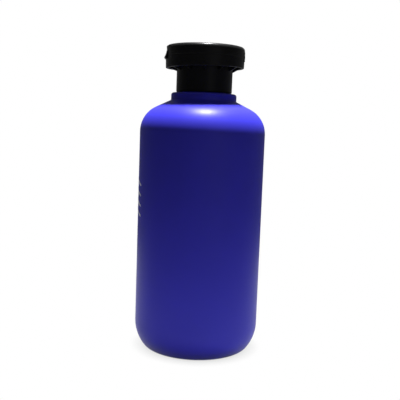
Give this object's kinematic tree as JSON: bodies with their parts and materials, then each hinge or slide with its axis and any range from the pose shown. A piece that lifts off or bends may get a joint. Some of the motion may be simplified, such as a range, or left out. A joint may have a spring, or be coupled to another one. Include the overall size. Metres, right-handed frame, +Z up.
{
  "type": "lotion bottle",
  "caption": "Round-shouldered cylindrical lotion bottle with a collar and a mushroom-shaped flip-top closure that screws onto its neck.",
  "frame": {"origin": "on the bottle's axis, at the face that it stands on", "axes": "+Z up along the bottle's axis; -Y towards the printed front and the thumb lip; +Y towards the lid's hinge"},
  "size_m": [0.062, 0.062, 0.1504],
  "materials": {
    "bottle_plastic": "gloss",
    "cap_plastic": "satin",
    "washer_foam": "matte",
    "print_ink": "satin"
  },
  "bodies": {
    "bottle": {"bottle": "bottle_plastic"},
    "washer": {"seal_washer": "washer_foam"},
    "closure": {"cap_base": "cap_plastic", "hinge_film": "cap_plastic"},
    "lid": {"flip_lid": "cap_plastic"}
  },
  "joints": [
    {"name": "closure_rise", "type": "slide", "parent": "bottle", "child": "washer", "axis": [0, 0, 1], "range_m": [0, 0.0175]},
    {"name": "closure_turn", "type": "hinge", "parent": "washer", "child": "closure", "pos_m": [0, 0, 0.1442], "axis": [0, 0, 1], "range_deg": [0, 1980]},
    {"name": "lid_flip", "type": "hinge", "parent": "closure", "child": "lid", "pos_m": [0, 0.0188, 0.14528], "axis": [-1, 0, 0], "range_deg": [0, 135], "deforming": ["hinge_film"]}
  ],
  "couplings": [
    {"joint": "closure_rise", "follows": "closure_turn", "m_per_rad": 0.0005053}
  ]
}
